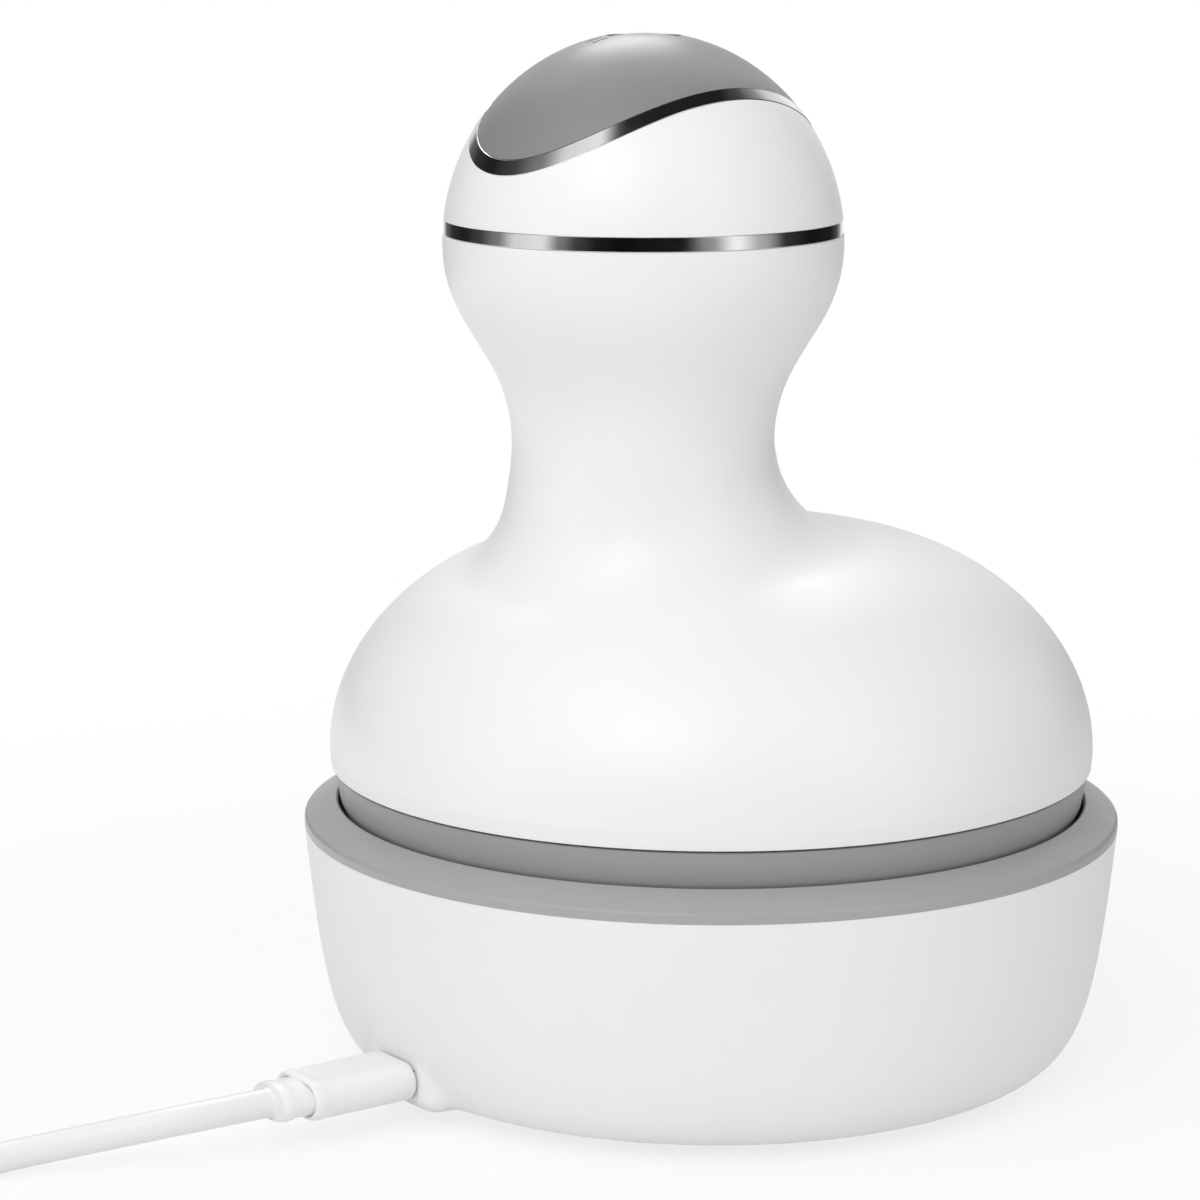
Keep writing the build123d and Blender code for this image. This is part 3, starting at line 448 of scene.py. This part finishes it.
def turned(name, outline, steps, middle=(0, 0)):
    """Body of revolution about the upright line through the middle."""
    piece = drawn(name, outline, middle)
    bpy.ops.mesh.spin(steps=steps, angle=2 * math.pi,
                      center=(middle[0] * mm, middle[1] * mm, 0), axis=(0, 0, 1))
    bpy.ops.mesh.select_all(action="SELECT")
    bpy.ops.mesh.remove_doubles(threshold=weld_gap)
    bpy.ops.mesh.normals_make_consistent(inside=False)
    bpy.ops.object.mode_set(mode="OBJECT")
    return smoothed(piece)


feet = [turned("dock_foot_1", foot_outline, 40, foot_spots[0])]
feet += [copied(feet[0], f"dock_foot_{number}", foot_spots[0], spot)
         for number, spot in enumerate(foot_spots[1:], 2)]
for number, foot in enumerate(feet, 1):
    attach(foot, "dock")
    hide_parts(f"foot_{number}")
    cover(rubber_and_painted_shade, foot)

# Inside of the dock: a grey tray with the contact post, a ledge ring that carries the massager,
# and below them the charging board with its socket and two sprung gold pins in steel barrels.
grey_satin = moulded("grey_satin", (0.27, 0.272, 0.28), (0.24, 0.242, 0.25), 0.42, 2800,
                     0.000008, 0.15)
cover(grey_satin, "dock_tray", "dock_ledge")
board_green = moulded("board_green", (0.02, 0.11, 0.05), (0.03, 0.17, 0.08), 0.35, 700, 0.00004)
cover(board_green, "dock_board", "control_board")
dark_plastic = moulded("dark_plastic", (0.035, 0.035, 0.038), (0.05, 0.05, 0.054), 0.5, 1800,
                       0.00002)
cover(dark_plastic, "charging_socket", "tact_switch")
cover(bright_steel, "contact_barrels")
cover(gold_plate, "contact_pin_centre", "contact_pin_ring")

# Dock shell: one bowl of white satin plastic, injection moulded, with a soft boss blended into
# its side round the charging socket.
cover(dock_white, "dock_shell")

# Rim of the dock: a grey ring clipped onto the shell's edge, sloping inwards, with its outer
# corner rounded over.
rim_outline = rounded([(49.8, 36.1, 0.35), (54.0, 33.9, 0.7), (54.0, 32.65, 0.08),
                       (51.8, 32.65, 0), (51.8, 33.2, 0), (49.4, 33.2, 0), (49.5, 35.7, 0.12)])
rim = turned("dock_rim_ring", rim_outline + rim_outline[:1], 240)
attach(rim, "dock")
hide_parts("dock_rim")
rim_grey = moulded("rim_grey", (0.4, 0.402, 0.41), (0.37, 0.372, 0.38), 0.31, 2800, 0.000006)
cover(rim_grey, rim)

# Drive inside the massager: a dark chassis plate carries the steel motor, the acetal gears and
# the four head shafts, which turn in bronze bushes.
cover(moulded("chassis_black", (0.03, 0.03, 0.033), (0.045, 0.045, 0.05), 0.5, 1500, 0.00003),
      "chassis_plate", "battery_cradle")
cover(bright_steel, "motor_can", "motor_rotor", "reduction_axle", "plate_screws",
      *[f"head_shaft_{number}" for number in range(1, 5)])
cover(moulded("acetal", (0.78, 0.76, 0.68), (0.7, 0.68, 0.6), 0.4, 900, 0.00001),
      "reduction_gear", "drive_wheel", *[f"head_gear_{number}" for number in range(1, 5)])
cover(moulded("bronze", (0.62, 0.42, 0.2), (0.5, 0.32, 0.14), 0.38, 2600, 0.00001, 0, 1.0),
      "shaft_bushes")

# Battery: a round cell in a shrink sleeve, which stands in its cradle up the handle. The small
# board above it carries the switch under the button.
cover(moulded("shrink_sleeve", (0.03, 0.1, 0.27), (0.05, 0.14, 0.34), 0.3, 500, 0.00003),
      "battery_cell")

# Massage heads: four round pads of soft grey silicone, each with eight fingers near its edge and
# four near its hub, moulded in one piece and pushed onto the head's shaft.
massager_turn = 5.0                # the massager stands turned by this on its dock, degrees
head_spots = [(16.363, 19.5), (-19.5, 16.363), (-16.363, -19.5), (19.5, -16.363)]
finger_tip, finger_low = 1.5, 13.4
pad_radius, pad_low, pad_high = 16.594, 25.4, 28.0
hub_radius, hub_high, bore_radius, bore_low = 6.0, 29.6, 3.0, 26.4
finger_outline = [(0.0, finger_low)]
for step in range(1, 7):
    way = math.radians(90 * step / 6)
    finger_outline.append((finger_tip * math.sin(way),
                           finger_low + finger_tip - finger_tip * math.cos(way)))
finger_outline += [(1.9, 20.4), (2.2, 24.2), (2.35, 24.8), (2.7, 25.2), (3.3, 25.42), (3.3, 26.0),
                   (0.0, 26.0)]
pad_outline = rounded([(0, bore_low, 0), (bore_radius, bore_low, 0), (bore_radius, hub_high, 0),
                       (hub_radius, hub_high, 0.3), (hub_radius, pad_high, 0),
                       (pad_radius, pad_high, 1.1), (pad_radius, pad_low, 1.0),
                       (0, pad_low, 0)], 6)
finger_spots = []
for count, ring, first in ((8, 13.394, 22.5), (4, 6.6, 45.0)):
    for finger in range(count):
        way = math.radians(first + massager_turn + 360 * finger / count)
        finger_spots.append((head_spots[0][0] + ring * math.cos(way),
                             head_spots[0][1] + ring * math.sin(way)))
fingers = [turned("finger", finger_outline, 24, finger_spots[0])]
fingers += [copied(fingers[0], "finger", finger_spots[0], spot) for spot in finger_spots[1:]]
pads = [joined("silicone_head_1",
               [turned("pad_disc", pad_outline, 96, head_spots[0])] + fingers)]
pads += [copied(pads[0], f"silicone_head_{number}", head_spots[0], spot)
         for number, spot in enumerate(head_spots[1:], 2)]
silicone_grey = moulded("silicone_grey", (0.2, 0.2, 0.215), (0.24, 0.24, 0.255), 0.56, 1700,
                        0.00002, 0.2)
for number, pad in enumerate(pads, 1):
    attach(pad, f"head_{number}")
    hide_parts(f"head_pad_{number}")
    cover(silicone_grey, pad)

# Face of the massager: a grey plate with four round openings for the heads' hubs, and a small
# boss in its middle that holds the two gold charging contacts.
cover(grey_satin, "face_plate")
cover(gold_plate, "contact_centre", "contact_ring")

# Collar: a tapered skirt of grey satin plastic, pushed up into the white shell with a thin
# shadow gap left between them.
collar_outline = rounded([(50.0, 40.45, 0.15), (49.2, 36.1, 0), (46.6, 30.0, 0.5),
                          (42.8, 30.0, 0.3), (42.8, 31.2, 0), (44.7, 31.2, 0), (47.3, 36.1, 0),
                          (47.0, 42.95, 0), (48.15, 42.95, 0), (48.1, 40.45, 0)])
collar = turned("massager_collar", collar_outline + collar_outline[:1], 240)
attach(collar, "massager")
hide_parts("collar")
collar_grey = moulded("collar_grey", (0.34, 0.342, 0.35), (0.31, 0.312, 0.32), 0.4, 2800,
                      0.000008, 0.15)
cover(collar_grey, collar)

# Body and upper ball: two shells of glossy white plastic, the body drawn up into the neck and the
# lower half of the ball, the other closing the ball above the belt.
body_white = moulded("body_white", (0.89, 0.89, 0.89), (0.86, 0.86, 0.865), 0.36, 3600,
                     0.000003, 0.22)
cover(body_white, "body_shell", "ball_shell")

# Belt: a narrow ring of plated plastic in the joint between the two halves of the ball, with
# slightly eased edges.
ball_middle = (-12.154, -1.063)
belt_outline = rounded([(23.45, 111.05, 0), (25.45, 111.05, 0.12), (25.45, 112.95, 0.12),
                        (23.45, 112.95, 0)], 4)
belt = turned("plated_belt", belt_outline + belt_outline[:1], 288, ball_middle)
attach(belt, "massager")
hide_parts("belt_ring")
plated = moulded("plated", (0.86, 0.865, 0.87), (0.8, 0.805, 0.81), 0.09, 400, 0.0000015, 0.1,
                 1.0)
cover(plated, belt)

# Wavy trim: a plated plastic band that rises and falls round the ball, let in between the white
# shell and the grey cap. Its face is flat across and stands a little proud, with eased edges.
ball_radius, ball_rise, ball_level = 25.65, 26.7, 109.8
trim_low, trim_low_wave, trim_high, trim_high_wave = 125.36, 0.01026, 127.18, 0.0106
trim_turns = 256                   # sections round the band
# A section's points: share of the band's width from its lower edge, and height over the ball.
trim_section = [(0.0, -0.1), (0.02, 0.0), (0.06, 0.06), (0.94, 0.06), (0.98, 0.0), (1.0, -0.1),
                (1.0, -1.2), (0.5, -1.3), (0.0, -1.2)]
bpy.ops.object.select_all(action="DESELECT")
bpy.ops.mesh.primitive_torus_add(major_segments=trim_turns, minor_segments=len(trim_section),
                                 major_radius=0.02, minor_radius=0.001)
trim = bpy.context.object
trim.name = "plated_wave_trim"


def ball_edge(level, wave, way):
    """Radius at which a saddle of that level and wave meets the ball, in the direction of way."""
    radius = 20.0
    for _ in range(40):
        height = (level - wave * radius ** 2 * math.cos(2 * way) - ball_level) / ball_rise
        radius = ball_radius * math.sqrt(max(1 - height ** 2, 0.0)) * 0.5 + radius * 0.5
    return radius


for turn in range(trim_turns):
    way = 2 * math.pi * turn / trim_turns
    bearing = way + math.radians(massager_turn)
    low_lean = math.acos(ball_edge(trim_low, trim_low_wave, way) / ball_radius)
    high_lean = math.acos(ball_edge(trim_high, trim_high_wave, way) / ball_radius)
    for step, (share, over) in enumerate(trim_section):
        lean = low_lean + (high_lean - low_lean) * share
        out = (ball_radius + over) * math.cos(lean)
        trim.data.vertices[turn * len(trim_section) + step].co = (
            (ball_middle[0] + out * math.cos(bearing)) * mm,
            (ball_middle[1] + out * math.sin(bearing)) * mm,
            (ball_level + (ball_rise + over) * math.sin(lean)) * mm)
bpy.ops.object.mode_set(mode="EDIT")
bpy.ops.mesh.select_all(action="SELECT")
bpy.ops.mesh.normals_make_consistent(inside=False)
bpy.ops.object.mode_set(mode="OBJECT")
smoothed(trim)
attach(trim, "massager")
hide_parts("wave_trim")
cover(plated, trim)

# Cap: the grey satin crown of the ball, with two short slots for the lights behind smoked windows.
# It is pressed into the trim from above.
cap_grey = moulded("cap_grey", (0.25, 0.252, 0.26), (0.22, 0.222, 0.23), 0.38, 2800, 0.000008,
                   0.15)
cover(cap_grey, "top_cap")
cover(moulded("light_window", (0.06, 0.062, 0.066), (0.09, 0.092, 0.096), 0.25, 1800, 0.00001),
      "indicator_lights")

# Power button: a round grey key that sits in the cap with a narrow gap, follows the ball's curve
# and is kept in by a flange under the cap. Its rounded edge and side are painted dark as painted
# shade of that gap.
key_radius, key_recess = 4.3, 0.2
key_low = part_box("power_button")[0].z / mm
flange_radius, flange_low, flange_high = 5.7, key_low + 0.85, key_low + 1.65
# Past the second radius here the key is painted dark, as painted shade of the gap round it.
stem_radius, key_shade_from = 1.6, 4.2


def key_face(radius):
    """Height of the key's top, a little under the ball's surface."""
    return ball_level + (ball_rise - key_recess) * math.sqrt(
        1 - (radius / (ball_radius - key_recess)) ** 2)


key_outline = [(0.0, key_low), (stem_radius, key_low), (stem_radius, flange_low),
               (flange_radius, flange_low), (flange_radius, flange_high),
               (key_radius, flange_high)]
key_outline += [(radius, key_face(radius) - below)
                for radius, below in ((key_radius, 0.4), (4.26, 0.22), (4.14, 0.08))]
key_outline += [(radius, key_face(radius)) for radius in (3.95, 3.6, 3.0, 2.4, 1.8, 1.2, 0.6, 0)]
button = turned("power_key", key_outline, 96, ball_middle)
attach(button, "power_button")
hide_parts("power_button")
cover(cap_grey, button)
# The key's rounded edge and side take the dark rubber colour: painted shade of the gap round the
# key.
button.data.materials.append(rubber_and_painted_shade)
for face in button.data.polygons:
    aside = (face.center.x / mm - ball_middle[0], face.center.y / mm - ball_middle[1])
    face.material_index = int(math.hypot(*aside) > key_shade_from)

# Studio: a pale floor without an edge, soft square lamps on the left, on the right and above, a
# fourth behind that shows only as sheen, and round them a scrim of light and dark stripes that
# only the plated pieces and the gloss see.
scene = bpy.context.scene
scene.view_settings.view_transform = "Standard"
object_middle = 0.07               # height that the lamps are aimed at, in metres
room_light = 0.61                  # the world's strength where it lights the object


def soft_lamp(name, bearing, lift, reach, size, power):
    """Square lamp aimed at the object, at a bearing from the camera's and a lift, in degrees."""
    bearing, lift = math.radians(camera_bearing + bearing), math.radians(lift)
    bpy.ops.object.light_add(type="AREA", location=(
        reach * math.cos(lift) * math.cos(bearing), reach * math.cos(lift) * math.sin(bearing),
        object_middle + reach * math.sin(lift)))
    lamp = bpy.context.object
    lamp.name = name
    lamp.rotation_euler = (math.pi / 2 - lift, 0, bearing + math.pi / 2)
    lamp.data.energy = power
    lamp.data.size = size
    return lamp


def seen_rays(tree):
    """Light Path's outputs, and one that is 1 where the camera, a mirror or glass looks."""
    kinds = tree.nodes.new("ShaderNodeLightPath").outputs
    straight = reckoned(tree, "MAXIMUM", kinds["Is Camera Ray"], kinds["Is Glossy Ray"])
    return kinds, reckoned(tree, "MAXIMUM", straight, kinds["Is Transmission Ray"])


soft_lamp("key_lamp", -20, 40, 0.95, 0.5, 2.75)
soft_lamp("side_lamp", 45, 35, 1.1, 0.5, 0.6)
soft_lamp("top_lamp", -70, 66, 1.0, 0.7, 1.4)
sheen_lamp = soft_lamp("sheen_lamp", -173, 49, 0.49, 0.34, 2.0)
sheen_lamp.visible_camera = False
sheen_lamp.visible_diffuse = False

world = bpy.data.worlds.new("studio")
scene.world = world
world.use_nodes = True
tree = world.node_tree
background = tree.nodes["Background"].inputs
background["Color"].default_value = (1, 1, 1, 1)
_, seen = seen_rays(tree)
tree.links.new(ranged(tree, seen, 0, 1, room_light, 1.0), background["Strength"])

# Floor: white paper under everything, which shows the object's shadow near it and is plain white
# further out. In mirrors it is dimmer on the right, so plated edges darken there.
shadow_reach, white_from, shadow_share = 0.07, 0.24, 0.78
dim_from, dim_full, dim_depth = -0.02, 0.16, 0.55
bpy.ops.object.select_all(action="DESELECT")
bpy.ops.mesh.primitive_circle_add(vertices=96, radius=9, fill_type="NGON", location=(0, 0, 0))
floor = bpy.context.object
floor.name = "studio_floor"
paper = bpy.data.materials.new("floor_paper")
paper.use_nodes = True
tree = paper.node_tree
sheet = tree.nodes["Principled BSDF"]
sheet.inputs["Base Color"].default_value = (0.9, 0.9, 0.9, 1)
sheet.inputs["Roughness"].default_value = 0.8
sheet.inputs["Specular IOR Level"].default_value = 0.1
spot = tree.nodes.new("ShaderNodeTexCoord").outputs["Object"]
far = tree.nodes.new("ShaderNodeVectorMath")
far.operation = "LENGTH"
tree.links.new(spot, far.inputs[0])
right_way = math.radians(camera_bearing + 90)
rightward = tree.nodes.new("ShaderNodeVectorMath")
rightward.operation = "DOT_PRODUCT"
rightward.inputs[1].default_value = (math.cos(right_way), math.sin(right_way), 0)
tree.links.new(spot, rightward.inputs[0])
kinds, seen = seen_rays(tree)
fade = ranged(tree, far.outputs["Value"], shadow_reach, white_from, shadow_share, 1.0, soft=True)
dimming = ranged(tree, rightward.outputs["Value"], dim_from, dim_full, 0.0, -dim_depth,
                 soft=True)
glow = tree.nodes.new("ShaderNodeEmission")
blend = tree.nodes.new("ShaderNodeMixShader")
for start, end in ((reckoned(tree, "MULTIPLY_ADD", dimming, kinds["Is Glossy Ray"], 1.0),
                    glow.inputs["Strength"]),
                   (reckoned(tree, "MULTIPLY", seen, fade), blend.inputs[0]),
                   (sheet.outputs["BSDF"], blend.inputs[1]),
                   (glow.outputs["Emission"], blend.inputs[2]),
                   (blend.outputs["Shader"], tree.nodes["Material Output"].inputs["Surface"])):
    tree.links.new(start, end)
floor.data.materials.append(paper)

# Scrim: half a ball of cloth over the object, in upright stripes that lean outwards with height
# and close to black at the roof. Only mirrors and gloss see it.
scrim_radius, scrim_foot = 0.55, 0.002
stripe_lean, stripe_shift = 0.1306, -0.0075
roof_low, roof_high = 0.485, 0.515
stripes = [(-180, 0.7), (-164, 0.75), (-150, 0.12), (-136, 0.03), (-120, 0.015), (-104, 0.05),
           (-88, 0.2), (-74, 0.75), (-58, 0.85), (-46, 0.2), (-36, 0.04), (-24, 0.01),
           (-10, 0.004), (22, 0.008), (38, 0.3), (53, 1.0), (70, 0.42), (88, 0.03), (110, 0.008),
           (134, 0.012), (146, 0.06), (152, 0.22), (160, 0.75), (168, 0.95), (180, 0.7)]
bpy.ops.object.select_all(action="DESELECT")
bpy.ops.mesh.primitive_uv_sphere_add(segments=64, ring_count=32, radius=scrim_radius,
                                     location=(0, 0, 0))
scrim = bpy.context.object
scrim.name = "studio_scrim"
bpy.ops.object.mode_set(mode="EDIT")
bpy.ops.mesh.select_all(action="SELECT")
bpy.ops.mesh.bisect(plane_co=(0, 0, scrim_foot), plane_no=(0, 0, 1), clear_inner=True)
bpy.ops.object.mode_set(mode="OBJECT")
cloth = bpy.data.materials.new("scrim_cloth")
cloth.use_nodes = True
tree = cloth.node_tree
tree.nodes.remove(tree.nodes["Principled BSDF"])
spot = tree.nodes.new("ShaderNodeTexCoord").outputs["Object"]
spin = tree.nodes.new("ShaderNodeMapping")
spin.inputs["Rotation"].default_value = (0, 0, math.radians(-camera_bearing))
round_it = tree.nodes.new("ShaderNodeTexGradient")
round_it.gradient_type = "RADIAL"
rise = tree.nodes.new("ShaderNodeSeparateXYZ")
for start, end in ((spot, spin.inputs["Vector"]), (spot, rise.inputs["Vector"]),
                   (spin.outputs["Vector"], round_it.inputs["Vector"])):
    tree.links.new(start, end)
from_camera = reckoned(tree, "SUBTRACT", round_it.outputs["Fac"], 0.5)
leaning = reckoned(tree, "MULTIPLY_ADD", rise.outputs["Z"], stripe_lean, stripe_shift)
away = reckoned(tree, "ADD", reckoned(tree, "ABSOLUTE", from_camera), leaning)
striped = tree.nodes.new("ShaderNodeValToRGB")
ramp = striped.color_ramp
ramp.interpolation = "EASE"
ramp.elements[0].position, ramp.elements[1].position = 0.0, 1.0
for degrees, _ in stripes[1:-1]:
    ramp.elements.new(0.5 + degrees / 360)
for element, (_, light) in zip(ramp.elements, stripes):
    element.color = (light, light, light, 1)
roofed = tree.nodes.new("ShaderNodeMixRGB")
roofed.inputs[2].default_value = (0.015, 0.015, 0.015, 1)
glow = tree.nodes.new("ShaderNodeEmission")
for start, end in ((reckoned(tree, "MULTIPLY_ADD", reckoned(tree, "SIGN", from_camera), away, 0.5),
                    striped.inputs["Fac"]),
                   (ranged(tree, rise.outputs["Z"], roof_low, roof_high), roofed.inputs[0]),
                   (striped.outputs["Color"], roofed.inputs[1]),
                   (roofed.outputs["Color"], glow.inputs["Color"]),
                   (glow.outputs["Emission"], tree.nodes["Material Output"].inputs["Surface"])):
    tree.links.new(start, end)
scrim.data.materials.append(cloth)
scrim.visible_camera = False
scrim.visible_diffuse = False
scrim.visible_transmission = False
scrim.visible_shadow = False
scrim.visible_volume_scatter = False

bpy.context.view_layer.update()
